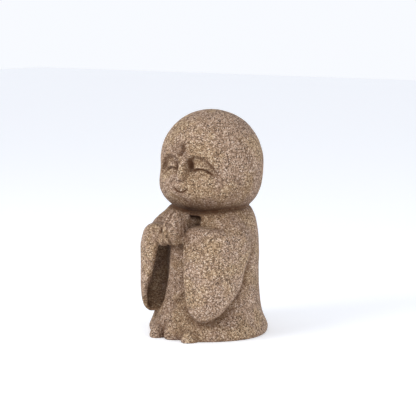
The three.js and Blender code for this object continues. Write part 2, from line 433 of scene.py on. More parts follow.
def drawn_round(outline):
    """A map of the distance to a closed outline of [turn, height] points, below zero inside it."""
    loop = curve_through(outline, closed=True) * (MM_PER_DEGREE, 1)
    across, up = np.meshgrid(MAP_TURNS * MM_PER_DEGREE, MAP_HEIGHTS, indexing="ij")
    nearest = np.full(across.shape, np.inf)
    inside = np.zeros(across.shape, bool)
    for (ax, ay), (bx, by) in zip(loop, np.roll(loop, -1, 0)):
        run_x, run_y = bx - ax, by - ay
        t = np.clip(((across - ax) * run_x + (up - ay) * run_y) / (run_x**2 + run_y**2), 0, 1)
        nearest = np.minimum(nearest, np.hypot(across - ax - t * run_x, up - ay - t * run_y))
        if ay != by:
            inside ^= ((ay > up) != (by > up)) & (across < ax + (up - ay) * run_x / run_y)
    return np.where(inside, -nearest, nearest)


def read_map(table, turn, z):
    """The distance at that turn and height, blended between the four nearest places of the map."""
    u = np.clip(turn - MAP_TURNS[0], 0, len(MAP_TURNS) - 1.001)
    v = np.clip(z - MAP_HEIGHTS[0], 0, len(MAP_HEIGHTS) - 1.001)
    i, j = u.astype(int), v.astype(int)
    s, t = u - i, v - j
    low = table[i, j] * (1 - s) + table[i + 1, j] * s
    high = table[i, j + 1] * (1 - s) + table[i + 1, j + 1] * s
    return low * (1 - t) + high * t


# %% The sleeve's outline
SLEEVE = drawn_round([
    [10, 82], [10.5, 93], [13.5, 98.5], [20, 99.5], [36, 99.5], [58, 97], [80, 90], [91, 79], [82, 62],
    [72, 46], [58, 32], [46, 22], [34, 17], [24, 18.5], [16.5, 26], [12.5, 40], [10.5, 60],
])
print("a sleeve covers", round((SLEEVE < 0).sum() * MM_PER_DEGREE / 100), "square centimetres of the robe")

# %% [markdown]
# ## The sleeves
#
# The outline is given a thickness by the sleeve's outer surface, which swells out most at the side
# of the front. The edge in front is crisp and the one at the side is round, as folded cloth is.

# %% Sleeves
SLEEVE_RADIUS = 47.5
SLEEVE_SWELL = {"turn": 46, "spread": 30, "height": 13.5}
SLEEVE_FOOT = {"drawn_in": 1.5, "fades": (18, 45)}
SLEEVE_TOP = {"drawn_in": 4, "grows": (78, 100)}
SLEEVE_EDGE = {"front": 3.5, "side": 8, "grows": (16, 48)}


def sleeve_radius(turn, z):
    """How far a sleeve's outer surface is from the body's axis."""
    swell = SLEEVE_SWELL["height"] * bell(turn - SLEEVE_SWELL["turn"], SLEEVE_SWELL["spread"])
    in_at_foot = SLEEVE_FOOT["drawn_in"] * (1 - smoothstep(z, *SLEEVE_FOOT["fades"]))
    in_at_top = SLEEVE_TOP["drawn_in"] * smoothstep(z, *SLEEVE_TOP["grows"])
    return SLEEVE_RADIUS + swell - in_at_foot - in_at_top


def sleeves(x, y, z):
    """Both sleeves, still solid."""
    turn, radius = turn_of(np.abs(x), y), np.hypot(x, y)
    more_at_side = (SLEEVE_EDGE["side"] - SLEEVE_EDGE["front"]) * smoothstep(turn, *SLEEVE_EDGE["grows"])
    edge = SLEEVE_EDGE["front"] + more_at_side
    return rounded_meet(read_map(SLEEVE, turn, z), radius - sleeve_radius(turn, z), edge)


print("a sleeve's surface is", sleeve_radius(46, 60).round(1), "mm from the axis where it swells most")

# %% [markdown]
# ## The cuffs
#
# A cuff is the sleeve's open end, so it has to be hollow: a dark patch of colour there would look
# painted on from any other side. One cut hollows the inside of both sleeves, down into the robe.
# Another opens the ends, as a slit on the left and as a wide gape on the right.

# %% Cuffs
CLOTH = 4.5  # thickness of a sleeve's outer wall
HOLLOW_FLOOR = 37  # how far from the body's axis the hollow ends
CUFF_ROUNDING = 3
CUFF_HOLLOW = drawn_round([
    [17, 90], [28, 93], [40, 88], [50, 64], [51, 42], [46, 26], [35, 22], [27, 36], [20, 58], [17, 75],
])
CUFF_SLIT = drawn_round([[5, 74], [12, 80], [24, 80], [25, 60], [24, 38], [15, 36], [6, 42], [4, 60]])
CUFF_GAPE = drawn_round([
    [0, 101], [15, 104], [18, 95], [20.5, 86], [22.5, 77], [27, 63], [32, 50], [37.5, 40], [40, 29],
    [37, 15], [20, 8], [0, 14], [-8, 60],
])


def cuff_hollows(x, y, z):
    """The hollow inside each sleeve, which reaches into the robe behind it."""
    turn, radius = turn_of(np.abs(x), y), np.hypot(x, y)
    under_cloth = np.maximum(radius - sleeve_radius(turn, z) + CLOTH, HOLLOW_FLOOR - radius)
    return rounded_meet(read_map(CUFF_HOLLOW, turn, z), under_cloth, CUFF_ROUNDING)


def cuff_openings(x, y, z):
    """The open end of each cuff, in the sleeve alone."""
    turn, radius = turn_of(np.abs(x), y), np.hypot(x, y)
    under_cloth = radius - sleeve_radius(turn, z) + CLOTH
    slit = rounded_meet(read_map(CUFF_SLIT, turn, z), under_cloth, CUFF_ROUNDING)
    gape = read_map(CUFF_GAPE, turn, z)
    return np.where(x < 0, joined(slit, gape, 2), slit)


print("the hollow is", round(float(-CUFF_HOLLOW.min()), 1), "mm from its outline at its middle")

# %% [markdown]
# ## The robe
#
# The robe is a column that is fuller at the hem and narrow at the neck. A turned solid would give
# its profile, but cloth isn't round. So the column is first turned like a pot, and then pushed in
# and out by angle, with one small function for each form that the cloth takes. Turns are in degrees
# and all else is in millimetres. A pair of numbers is where a soft step begins and where it ends.

# %% The robe's profile
ROBE_PROFILE = [  # height and radius
    [0, 53.6], [1.5, 54.6], [5, 54.8], [10, 52.8], [16, 50.2], [23, 48.2], [31, 47], [38, 46.5],
    [45, 46.1], [58, 46], [76, 46], [88, 45.4], [97, 44.2], [104, 42.6], [110, 40], [114, 37], [117, 30],
]
robe_heights, robe_radii = curve_through(ROBE_PROFILE).T
robe_slopes = np.gradient(robe_radii, robe_heights)
ROBE_TOP = robe_heights[-1]
print("robe: widest radius", robe_radii.max().round(1), "mm, top at", ROBE_TOP, "mm")

# %% Forms of the cloth
SHOULDER_DROP = {"height": 6, "turn": 10, "spread": 65, "grows": (88, 104)}
FLAT_FRONT = {"above the hem": (4.5, 12, 30), "chest": (6, 80, 100)}  # depth, and heights it grows between
HEM_LOBES = {"height": 0.6, "count": 5, "shift": 20}
HEM_DENT = {"depth": 2.2, "turn": -52, "spread": 24}
HEM_FOLD = {"height": 2.5, "turn": -3, "spread": 6}
HEM_GROOVES = {"depth": 2, "turns": (-12, 8), "spread": 4}
HEM_FADES = (6, 30)
FOLD_LINE = {"height": 33, "rise": 0.5}  # its height in front, and mm up for each degree
FOLDS = {  # ridges and grooves by their size, height above the line and spread
    "lower": {"ridge": (1.6, 5, 4), "groove": (1.8, 0, 4), "turn": -6, "spread": 20},
    "upper": {"ridge": (1.2, 22, 5), "groove": (1, 14, 4), "turn": 0, "spread": 16},
}
RECESS = {"depth": 11, "sides": (20, 26), "foot": (93, 97), "roof": (105, 108.5)}
SLEEVE_GROOVE = {"depth": 1.8, "away": 1.5, "spread": 3.5, "starts": (25, 45), "fades": (78, 92)}


def shoulder_drop(turn, z):
    """How much lower the shoulders' slope lies in front than behind."""
    drop = SHOULDER_DROP["height"] * bell(turn - SHOULDER_DROP["turn"], SHOULDER_DROP["spread"])
    return drop * smoothstep(z, *SHOULDER_DROP["grows"])


def flat_front(turn, z):
    """How far the front is drawn in, a little above the hem and more at the chest."""
    drawn_in = sum(depth * smoothstep(z, low, high) for depth, low, high in FLAT_FRONT.values())
    return drawn_in * np.maximum(0, np.cos(np.radians(turn))) ** 2


def hem_waves(turn, z):
    """Soft lobes round the hem, a dent at the right, and a fold that stands out between the feet."""
    lobes = HEM_LOBES["height"] * np.sin(np.radians(turn * HEM_LOBES["count"] + HEM_LOBES["shift"]))
    lobes = lobes - HEM_DENT["depth"] * bell(turn - HEM_DENT["turn"], HEM_DENT["spread"])
    fold = HEM_FOLD["height"] * bell(turn - HEM_FOLD["turn"], HEM_FOLD["spread"])
    for beside in HEM_GROOVES["turns"]:
        fold = fold - HEM_GROOVES["depth"] * bell(turn - beside, HEM_GROOVES["spread"])
    return (lobes + fold) * (1 - smoothstep(z, *HEM_FADES))


def front_folds(turn, z):
    """Two folds across the front, which rise to the figure's left. Each is a ridge over a groove."""
    above = z - FOLD_LINE["height"] - FOLD_LINE["rise"] * turn
    total = 0
    for fold in FOLDS.values():
        height, ridge_at, ridge_spread = fold["ridge"]
        depth, groove_at, groove_spread = fold["groove"]
        ridge = height * bell(above - ridge_at, ridge_spread)
        groove = depth * bell(above - groove_at, groove_spread)
        total = total + (ridge - groove) * bell(turn - fold["turn"], fold["spread"])
    return total


def chest_recess(turn, z):
    """The deep recess in the chest behind the hands."""
    across = 1 - smoothstep(np.abs(turn), *RECESS["sides"])
    above_foot = smoothstep(z, *RECESS["foot"])
    return RECESS["depth"] * across * above_foot * (1 - smoothstep(z, *RECESS["roof"]))


def sleeve_groove(turn, z):
    """The groove in which each sleeve lies against the side of the robe."""
    side = np.abs(turn)
    away = read_map(SLEEVE, side, z) - SLEEVE_GROOVE["away"]
    groove = SLEEVE_GROOVE["depth"] * bell(away, SLEEVE_GROOVE["spread"])
    groove = groove * smoothstep(side, *SLEEVE_GROOVE["starts"])
    return groove * (1 - smoothstep(z, *SLEEVE_GROOVE["fades"]))


front_heights = np.array([10.0, 60.0, 100.0])
print("the front is drawn in by", flat_front(0, front_heights).round(1), "mm at", front_heights, "mm")

# %% Robe
def robe(x, y, z):
    """The column of the robe with all the forms of its cloth."""
    turn, radius = turn_of(x, y), np.hypot(x, y)
    column = np.interp(z + shoulder_drop(turn, z), robe_heights, robe_radii)
    side = column - flat_front(turn, z) + hem_waves(turn, z) + front_folds(turn, z)
    side = side - chest_recess(turn, z) - sleeve_groove(turn, z)
    slope = np.interp(z, robe_heights, robe_slopes)
    return np.maximum((radius - side) / np.hypot(1, slope), z - ROBE_TOP)


print("the body's axis is", round(float(-robe(0.0, 0.0, 60.0)), 1), "mm inside the robe at 60 mm")

# %% [markdown]
# ## Upper arms, hands and feet
#
# A stretched ball in each shoulder gives the upper arms. The two palms meet at the fingertips.
# Each is a flattened egg that tapers upwards, with a thumb behind it and a wrist that comes out of
# the cuff. Under the hem, two small feet show. Simple balls and bars do here, because the stone is
# soft with wear and the joins are rounded.

# %% Upper arms and hands
UPPER_ARM = {"centre": (29, -14, 82.5), "radii": (23, 22, 25.5)}
HAND = {"x": 3.1, "y": -48.5, "z": 99, "width": 5.2, "depth": 11, "length": 15.8}
FINGERTIP_TAPER = 0.25
THUMB = {"start": (6, -39.5, 93), "end": (3.8, -42.5, 108), "radius": 3.1}
LEFT_WRIST = {"start": (5, -45, 91), "end": (15, -39.5, 86), "radius": 5.5}
RIGHT_WRIST = {"start": (-7, -47, 91), "end": (-16, -44, 86.5), "radius": 5.8}
WEB = {"start": (0, -35, 86), "end": (0, -34, 106), "radius": 5}  # stone from the hands to the chest


def upper_arms(x, y, z):
    """The roundness of both upper arms under the robe."""
    return ellipsoid(np.abs(x), y, z, **UPPER_ARM)


def hands(x, y, z):
    """Both hands and wrists, and the web of stone that holds them."""
    side = np.abs(x)
    taper = 1 - FINGERTIP_TAPER * smoothstep((z - HAND["z"]) / HAND["length"], 0, 1)
    centre = (HAND["x"], 0, HAND["z"])
    radii = (HAND["width"], HAND["depth"], HAND["length"])
    palm = ellipsoid(side / taper, (y - HAND["y"]) / taper, z, centre, radii)
    wrist = np.minimum(bar(x, y, z, **LEFT_WRIST), bar(x, y, z, **RIGHT_WRIST))
    hand = joined(palm, bar(side, y, z, **THUMB), fillet=1.2)
    return joined(joined(hand, wrist, fillet=3), bar(side, y, z, **WEB), fillet=2)


print("fingertips at", HAND["z"] + HAND["length"], "mm")

# %% Feet
FOOT = {"x": 17.7, "y": -49, "z": 1.5, "width": 7.6, "length": 9.5, "height": 8.6}


def feet(x, y, z, grown=0):
    """Both feet, or a little more than the feet, to cut room for them."""
    radii = [FOOT["width"] + grown, FOOT["length"] + grown, FOOT["height"] + grown]
    return ellipsoid(np.abs(x), y, z, (FOOT["x"], FOOT["y"], FOOT["z"]), radii)


print("the feet are", 2 * FOOT["x"], "mm apart, and reach", FOOT["z"] + FOOT["height"], "mm up")

# %% [markdown]
# ## The whole figure
#
# The order matters. The hem makes room for the feet before the sleeves are laid on. The cuffs are
# opened in the sleeves alone, so that the robe behind them stays whole, and only then hollowed
# into it. The fillets are wide where cloth runs into cloth, and narrow where one form rests on
# another. At the end, all that is below the floor is cut away flat.

# %% The whole figure
def figure(x, y, z):
    """The distance to the statue: below zero inside the stone."""
    body = joined(robe(x, y, z), upper_arms(x, y, z), fillet=6)
    body = cut(body, feet(x, y, z, grown=0.4), softness=1.5)
    open_sleeves = cut(sleeves(x, y, z), cuff_openings(x, y, z), softness=2)
    cloth = joined(body, open_sleeves, fillet=2.5)
    cloth = cut(cloth, cuff_hollows(x, y, z), softness=2)
    whole = joined(cloth, hands(x, y, z), fillet=1.2)
    whole = joined(whole, feet(x, y, z), fillet=1)
    bead = ellipsoid(x, y, z, bead_centre, bead_radii)
    whole = joined(whole, joined(head(x, y, z), bead, fillet=0.4), fillet=1.5)
    return np.maximum(whole, -z)


samples = np.array([(0, -10, 150), (0, -10, 60), (0, -90, 60)])
print("field in the head, in the robe and out in front, in mm:", figure(*samples.T).round(1))

# %% [markdown]
# ## One skin over the field
#
# The space round the figure is divided into small cubes. Each cube that the surface passes
# through gets one vertex, and each cube edge that it crosses gets one quad between the four cubes
# round that edge. That is the *surface nets* way. It gives even quads, where the well-known
# marching cubes give slivers.

# %% Vertices of the net
CELL = 1.2
CORNERS = [(i, j, k) for i in (0, 1) for j in (0, 1) for k in (0, 1)]
STEPS = [(0, 0, 1), (0, 1, 0), (1, 0, 0)]
CUBE_EDGES = [
    (np.array(corner), np.add(corner, step))
    for corner in CORNERS
    for step in STEPS
    if np.add(corner, step).max() < 2
]


def field_on_grid(field, axes):
    """The field at every point of the grid, worked out in eight slices to save memory."""
    slices = np.array_split(axes[0], 8)
    return np.concatenate([field(*np.meshgrid(part, *axes[1:], indexing="ij")) for part in slices])


def crossed_cubes(inside):
    """The cubes with some corners inside the surface and some outside."""
    size = np.array(inside.shape) - 1
    corners_inside = np.zeros(size, int)
    for i, j, k in CORNERS:
        corners_inside += inside[i : i + size[0], j : j + size[1], k : k + size[2]]
    return np.argwhere((corners_inside > 0) & (corners_inside < len(CORNERS)))


def net_points(values, cubes):
    """For each cube, the middle of the places where the surface crosses its edges."""
    total = np.zeros((len(cubes), 3))
    crossings = np.zeros((len(cubes), 1))
    for a, b in CUBE_EDGES:
        start = values[tuple((cubes + a).T)]
        end = values[tuple((cubes + b).T)]
        crossed = (start < 0) != (end < 0)
        t = start / np.where(crossed, start - end, 1)
        total += crossed[:, None] * (a + t[:, None] * np.subtract(b, a))
        crossings += crossed[:, None]
    return cubes + total / crossings


print("a cube has", len(CUBE_EDGES), "edges")

# %% Quads of the net
def net_quads(inside, number):
    """A quad round each grid edge that the surface crosses, facing outwards."""
    quads = []
    for axis in range(3):
        u, v = np.eye(3, dtype=int)[[(axis + 1) % 3, (axis + 2) % 3]]
        first = np.moveaxis(inside, axis, 0)[:-1]
        second = np.moveaxis(inside, axis, 0)[1:]
        edge = np.argwhere(np.moveaxis(first != second, 0, axis))
        ring = np.stack([number[tuple((edge - s).T)] for s in (u + v, v, 0 * u, u)], 1)
        outward = inside[tuple(edge.T)]
        quads.append(np.where(outward[:, None], ring, ring[:, ::-1]))
    return np.concatenate(quads)


def surface_net(field, low, high):
    """Vertices and quads over the place where the field is zero, between two corners of a box."""
    axes = [np.arange(a - 2.5 * CELL, b + 3 * CELL, CELL) for a, b in zip(low, high)]
    values = field_on_grid(field, axes)
    cubes = crossed_cubes(values < 0)
    number = np.zeros(np.array(values.shape) - 1, int)
    number[tuple(cubes.T)] = np.arange(len(cubes))
    origin = np.array([axis[0] for axis in axes])
    return origin + CELL * net_points(values, cubes), net_quads(values < 0, number)


vertices, quads = surface_net(figure, LOW, HIGH)
print("skin:", len(vertices), "vertices,", len(quads), "quads")

# %% [markdown]
# ## Onto the surface
#
# A net's vertices lie a little inside the round forms, since each is an average over a cube. The
# field tells how far off each one is, and its slope tells which way to go, so a few steps put them
# right on the surface.

# %% Onto the surface
def slope_of(field, points, step=0.2):
    """The direction in which a field rises fastest, at each point."""
    rise = [field(*(points + d).T) - field(*(points - d).T) for d in np.eye(3) * step]
    return np.stack(rise, 1) / (2 * step)


def settled(field, points, rounds=3):
    """Points moved onto the surface of a field."""
    for _ in range(rounds):
        slope = slope_of(field, points)
        steep = np.maximum((slope**2).sum(1), 0.1)
        step = field(*points.T) / steep
        points = points - slope * np.clip(step, -CELL, CELL)[:, None]
    return points


print("middle distance from the surface before:", np.median(np.abs(figure(*vertices.T))).round(4), "mm")
vertices = settled(figure, vertices)
print("and after:", np.median(np.abs(figure(*vertices.T))).round(6), "mm")

# %% [markdown]
# ## Into Blender
#
# The skin becomes a mesh only now, because whole arrays of numbers are quicker to work on than
# Blender's own vertices. Two helpers carry the vertices to numbers in millimetres and back.

# %% Into Blender
def points_of(mesh):
    """A mesh's vertices, in millimetres."""
    flat = np.zeros(len(mesh.vertices) * 3)
    mesh.vertices.foreach_get("co", flat)
    return flat.reshape(-1, 3) / MM


def move_to(mesh, points):
    """Moves a mesh's vertices to points given in millimetres."""
    mesh.vertices.foreach_set("co", (points * MM).ravel())
    mesh.update()


skin = bpy.data.meshes.new("jizo_figure")
skin.from_pydata(vertices * MM, [], quads.tolist())
skin.update()
jizo = bpy.data.objects.new("jizo_figure", skin)
bpy.context.scene.collection.objects.link(jizo)
print("mesh of", len(skin.polygons), "quads,", points_of(skin)[:, 2].max().round(1), "mm tall")

# %% [markdown]
# ## Paths of the carved lines
#
# The closed eyes, the smile and the gaps between the fingers are narrow lines, one or two
# millimetres wide. A line also parts the right hand from its cuff, and a ring goes round the bead.
# Each line is a path of short straight runs, laid on the stone by the same functions that made it,
# so it follows when the face is changed.

# %% Paths on the face
EYE = {"inner": 11, "outer": 38.5, "latitude": -8.2, "arch": 3.6, "droop": 3}
MOUTH = {"reach": 8.4, "latitude": -24.4, "sag": 3.4}
PATH_POINTS = 15

along_eye = np.linspace(0, 1, PATH_POINTS)
eye_path = head_point(
    EYE["inner"] + (EYE["outer"] - EYE["inner"]) * along_eye,
    EYE["latitude"] + EYE["arch"] * np.sin(np.pi * along_eye) - EYE["droop"] * along_eye**2,
)
along_mouth = np.linspace(-1, 1, PATH_POINTS)
mouth_path = head_point(
    MOUTH["reach"] * along_mouth,
    MOUTH["latitude"] - MOUTH["sag"] * (1 - along_mouth**2),
)
print("the mouth is", round(float(mouth_path[-1, 0] - mouth_path[0, 0]), 1), "mm wide")

# %% Path beside the right hand
CUFF_LINE = np.array([[-16, 97.5], [-20, 93], [-23, 87], [-24, 82]])  # turn and height
CUFF_LINE_RADIUS = 49
cuff_path = around(CUFF_LINE[:, 0], CUFF_LINE_RADIUS, CUFF_LINE[:, 1])
print("the cuff's line runs from", cuff_path[0].round(1), "to", cuff_path[-1].round(1))

# %% [markdown]
# ## How far from a line
#
# For the depth of a carved line, each vertex has to know how far it is from the path. For a line
# that fades towards its ends, it also has to know how far along the path it is, and for a lip that
# is fuller below, whether it is above or below.

# %% Distances to the lines
FINGER_GAPS = (-0.5, -0.05, 0.42)  # across the back of the hand, from -1 to 1


def from_line(path, points):
    """For each point: how far it is from a path, how far along the path (0 to 1), how far above."""
    distance = np.full(len(points), np.inf)
    place = np.zeros(len(points))
    above = np.zeros(len(points))
    for i, (start, end) in enumerate(zip(path, path[1:])):
        run = end - start
        t = np.clip((points - start) @ run / (run @ run), 0, 1)
        gap = points - start - t[:, None] * run
        length = np.sqrt((gap**2).sum(1))
        nearer = length < distance
        distance = np.where(nearer, length, distance)
        place = np.where(nearer, (i + t) / (len(path) - 1), place)
        above = np.where(nearer, gap[:, 2], above)
    return distance, place, above


def to_left(points):
    """The points, with those on the figure's right moved over to their mirror places."""
    return np.abs(points[:, 0])[:, None] * (1, 0, 0) + points * (0, 1, 1)


def from_finger_gap(points):
    """How far each point on the back of a hand is from the nearest gap between two fingers."""
    x, y, z = points.T
    up = np.clip((z - HAND["z"]) / HAND["length"], -1, 1)
    spread = HAND["depth"] * np.sqrt(np.maximum(1 - up**2, 0.05))
    across = (y - HAND["y"]) / spread
    gap = np.min([np.abs(across - finger) for finger in FINGER_GAPS], axis=0) * spread
    at_hands = (np.abs(x) > 3) & (np.abs(x) < 10) & (z > 92)
    on_hand = (np.abs(hands(x, y, z)) < 0.6) & at_hands
    return np.where(on_hand, gap, np.inf)


print("vertices on the fingers:", np.isfinite(from_finger_gap(vertices)).sum())

# %% [markdown]
# ## Finer quads near the lines
#
# The skin's quads are too big for such narrow lines. Smaller quads everywhere would make a heavy
# mesh, so only those near an eye, the mouth or the fingers are split, twice. The second time, the
# band is narrower. Each new vertex is then settled on the surface like the others.

# %% Finer quads near the lines
BANDS = (3.5, 1.8)  # how far from a line quads are split, each time
FINGERS_NEARER = 1  # the fingers' grooves are the finest, so their bands are narrower by this


def near_lines(points):
    """How far each point is from the nearest fine line."""
    eye, _, _ = from_line(eye_path, to_left(points))
    mouth, _, _ = from_line(mouth_path, points)
    return np.minimum(np.minimum(eye, mouth), from_finger_gap(points) + FINGERS_NEARER)


for band in BANDS:
    near = near_lines(points_of(skin)) < band
    work = bmesh.new()
    work.from_mesh(skin)
    edges = {edge for face in work.faces if any(near[v.index] for v in face.verts) for edge in face.edges}
    in_order = sorted(edges, key=lambda edge: edge.index)
    bmesh.ops.subdivide_edges(work, edges=in_order, cuts=1, use_grid_fill=True)
    work.to_mesh(skin)
    work.free()
    move_to(skin, settled(figure, points_of(skin), rounds=2))
    print("within", band, "mm of a line:", near.sum(), "vertices; in all now:", len(skin.vertices))

# %% [markdown]
# ## Carving
#
# Each vertex sinks by an amount that depends on how far it is from the line, as if a round-ended
# tool had been drawn along it. The stone beside an eye rises a little, for the rim of the lid, and
# under the mouth it rises for the lower lip.

# %% Distances of every vertex
EYE_FADES = {"inner": 0.15, "outer": 0.8, "thinner": 0.5}  # places along the eye, and a share of its depth

points = points_of(skin)
normals = slope_of(figure, points)
normals /= np.sqrt((normals**2).sum(1, keepdims=True)) + 1e-9

uncarved = to_left(points)
eye, eye_place, _ = from_line(eye_path, uncarved)
mouth, _, above_mouth = from_line(mouth_path, points)
cuff, _, _ = from_line(cuff_path, points)
fingers = from_finger_gap(points)
bead = ellipsoid(*points.T, bead_centre, bead_radii)
begins = smoothstep(eye_place, 0, EYE_FADES["inner"])
eye_ends = begins * (1 - EYE_FADES["thinner"] * smoothstep(eye_place, EYE_FADES["outer"], 1))
print("nearest vertex to an eye's line:", eye.min().round(3), "mm")

# %% Carve them
GROOVES = {"eye": (1.4, 0.9), "mouth": (1.3, 0.9), "fingers": (0.4, 0.7), "cuff": (1.2, 1.3)}
LID_RIM = {"height": 0.6, "away": 1.9, "spread": 1.1}
LOWER_LIP = {"height": 0.5, "away": 2.2, "spread": 1.5}
BEAD_RING = {"depth": 0.5, "away": 0.9, "spread": 0.7}


def groove(name, distance):
    """How deep the groove of that name is at a distance from its line."""
    depth, spread = GROOVES[name]
    return depth * bell(distance, spread)


bead_ring = bell(bead - BEAD_RING["away"], BEAD_RING["spread"])
carving = -groove("eye", eye) * eye_ends
carving += LID_RIM["height"] * bell(eye - LID_RIM["away"], LID_RIM["spread"]) * eye_ends
carving -= groove("mouth", mouth)
carving += LOWER_LIP["height"] * bell(mouth - LOWER_LIP["away"], LOWER_LIP["spread"]) * (above_mouth < 0)
carving -= groove("fingers", fingers)
carving -= groove("cuff", cuff)
carving -= BEAD_RING["depth"] * bead_ring
points += normals * carving[:, None]
print("deepest carving:", -carving.min().round(2), "mm; highest rim:", carving.max().round(2), "mm")

# %% [markdown]
# ## The weathered surface
#
# The stone is coarse: grains have fallen out and left pits, and broad lumps are left from carving.
# Both are in the mesh, because a bump in the material would leave the outline as smooth as
# plastic. The underside stays flat, because the figure stands on it.

# %% Lumps and pits
LUMPS = {"size": 13, "height": 0.35}
GRAINS = {"size": 3.0, "height": 0.12}
PITS = {"size": 2.0, "depth": 0.25, "from": 0.3, "to": 0.5}  # of the noise, where pits begin and are deep
ROUGH_FROM = 1.5  # height from which the surface is fully rough


def rough(points, size, shift=0):
    """Smooth noise from -1 to 1 with lumps of about that size. A shift gives other lumps."""
    scale = 1 / size
    return np.array([noise.noise(Vector(p)) for p in ((points + shift) * scale).tolist()])


weathering = LUMPS["height"] * rough(points, LUMPS["size"])
weathering += GRAINS["height"] * rough(points, GRAINS["size"], shift=50)
pits = smoothstep(rough(points, PITS["size"], shift=90), PITS["from"], PITS["to"])
weathering -= PITS["depth"] * pits
weathering *= smoothstep(points[:, 2], 0, ROUGH_FROM)
points += normals * weathering[:, None]
points[:, 2] = np.maximum(points[:, 2], 0)
move_to(skin, points)
print("the surface moves by", np.abs(weathering).mean().round(2), "mm on average")

# %% [markdown]
# ## Where patina gathers and shade is painted
#
# Brown patina stays in the hollows, where rain and hands don't reach, and the shade that falls in
# them is painted in the same brown. The distance field tells how open each place is. Some
# millimetres straight out from an open place, the distance to the stone is those millimetres, but
# in a crease it is less. Looking out at a slant to both sides as well tells more than looking
# straight out. Blender's own ambient occlusion would be simpler, but it is worked out while
# rendering, so it would need a bake before it could be kept.

# %% Openness of each vertex
REACHES = {2: 0.2, 5: 0.25, 10: 0.25, 20: 0.2, 35: 0.1}  # millimetres out, and how much each counts
SLANTS = (0, -50, 50)  # degrees off straight out

openness = np.zeros(len(points))
sideways = normals[:, [1, 0, 2]] * (-1, 1, 0)
for slant in np.radians(SLANTS):
    outward = normals * np.cos(slant) + sideways * np.sin(slant)
    for reach, weight in REACHES.items():
        free = figure(*(points + outward * reach).T) / (reach * np.cos(slant))
        openness += weight * np.clip(free, 0, 1) / len(SLANTS)
print("openness:", np.percentile(openness, [5, 50, 95]).round(3))

# %% [markdown]
# ## Patina and painted shade as a number on the mesh
#
# Undersides are made browner, as painted shade. The carved lines are darkened by dirt and painted
# shade, and the band under each brow, the ring round the bead, the line by the right cuff and the
# inner corner of each eye are darkened as painted shade. On hands and feet, the share from
# openness and undersides is halved. All of it is one number for each vertex, from 0 to 1, which
# the material reads. Its square root is kept, so that a slight amount already shows.

# %% Patina and painted shade of each vertex
# Surfaces that face down are darkened by this share, as painted shade.
UNDERSIDE_SHADE = 0.3
# Darkening along the carved lines is dirt and painted shade. Along the brow path, round the bead, by the
# right cuff and at the inner eye corners it is painted shade.
LINE_DIRT_AND_SHADE = {"fingers": 0.35, "cuff": 0.8, "bead": 0.6, "brow": 0.3, "eye corner": 0.5}
HANDS_AND_FEET_SPARED = 0.5  # share of the patina and painted shade taken off hands and feet

# The band of painted shadow just under each brow.
brow_sides = np.linspace(8, 38, PATH_POINTS)
brow_shadow_path = head_point(brow_sides, brow_line(brow_sides) - 1.5)
eye_corner_path = head_point(np.array([9.5, 10.5]), np.array([4.0, -5.0]))
brow, _, _ = from_line(brow_shadow_path, uncarved)
eye_corner, _, _ = from_line(eye_corner_path, uncarved)
# Painted shade, with dirt in the grooves, along the carved lines and the paths above.
lines = bell(eye, 0.8) * eye_ends + bell(mouth, 0.8)
lines += LINE_DIRT_AND_SHADE["fingers"] * bell(from_finger_gap(points), 0.8)
lines += LINE_DIRT_AND_SHADE["cuff"] * bell(cuff, 1.3) + LINE_DIRT_AND_SHADE["bead"] * bead_ring
lines += LINE_DIRT_AND_SHADE["brow"] * bell(brow, 1.8) + LINE_DIRT_AND_SHADE["eye corner"] * bell(eye_corner, 3)

# Painted shade on surfaces that face down, except near the floor.
facing_down = smoothstep(-normals[:, 2], 0.3, 1) * smoothstep(points[:, 2], 15, 30)
# Hands and feet get less of the painted shade and patina.
on_hands_or_feet = np.clip(bell(hands(*points.T), 1) + bell(feet(*points.T), 1), 0, 1)
patina_and_shade_share = (1 - openness + UNDERSIDE_SHADE * facing_down) * (1 - HANDS_AND_FEET_SPARED * on_hands_or_feet)
patina_and_shade_share = np.clip(patina_and_shade_share + lines, 0, 1)
# The number kept on the mesh is patina and painted shade together.
patina_and_shade = skin.attributes.new("patina_and_shade", "FLOAT", "POINT")
patina_and_shade.data.foreach_set("value", np.sqrt(patina_and_shade_share))
print("shelter:", np.percentile(patina_and_shade_share, [5, 25, 50, 75, 95]).round(3))

# %% [markdown]
# ## Small helpers for nodes
#
# A material is a tree of nodes. Written out in full, each node takes a line to make it, one for
# each setting and one for each link. These helpers do it in one call, so that a tree reads from
# top to bottom like a recipe.

# %% Adding and linking nodes
def put(tree, value, socket):
    """Links a socket to a socket, or sets a socket to a plain value."""
    if isinstance(value, bpy.types.NodeSocket):
        tree.links.new(value, socket)
    else:
        socket.default_value = value


def add(tree, kind, values=None, **settings):
    """Adds a node, sets its options, and sets or links its inputs."""
    node = tree.nodes.new("ShaderNode" + kind)
    for name, value in settings.items():
        setattr(node, name, value)
    for name, value in (values or {}).items():
        put(tree, value, node.inputs[name])
    return node


def maths(tree, operation, a, b):
    """One sum with two numbers."""
    return add(tree, "Math", {0: a, 1: b}, operation=operation).outputs[0]


def ramp(tree, value, low, high, kind="SMOOTHSTEP", to=(0, 1)):
    """Turns low..high into the two numbers of to."""
    values = {"Value": value, "From Min": low, "From Max": high, "To Min": to[0], "To Max": to[1]}
    return add(tree, "MapRange", values, interpolation_type=kind).outputs["Result"]


def blended(tree, amount, a, b, blend="MIX"):
    """Colour b over colour a by an amount."""
    node = add(tree, "Mix", {0: amount}, data_type="RGBA", blend_type=blend)
    put(tree, a, node.inputs[6])
    put(tree, b, node.inputs[7])
    return node.outputs[2]


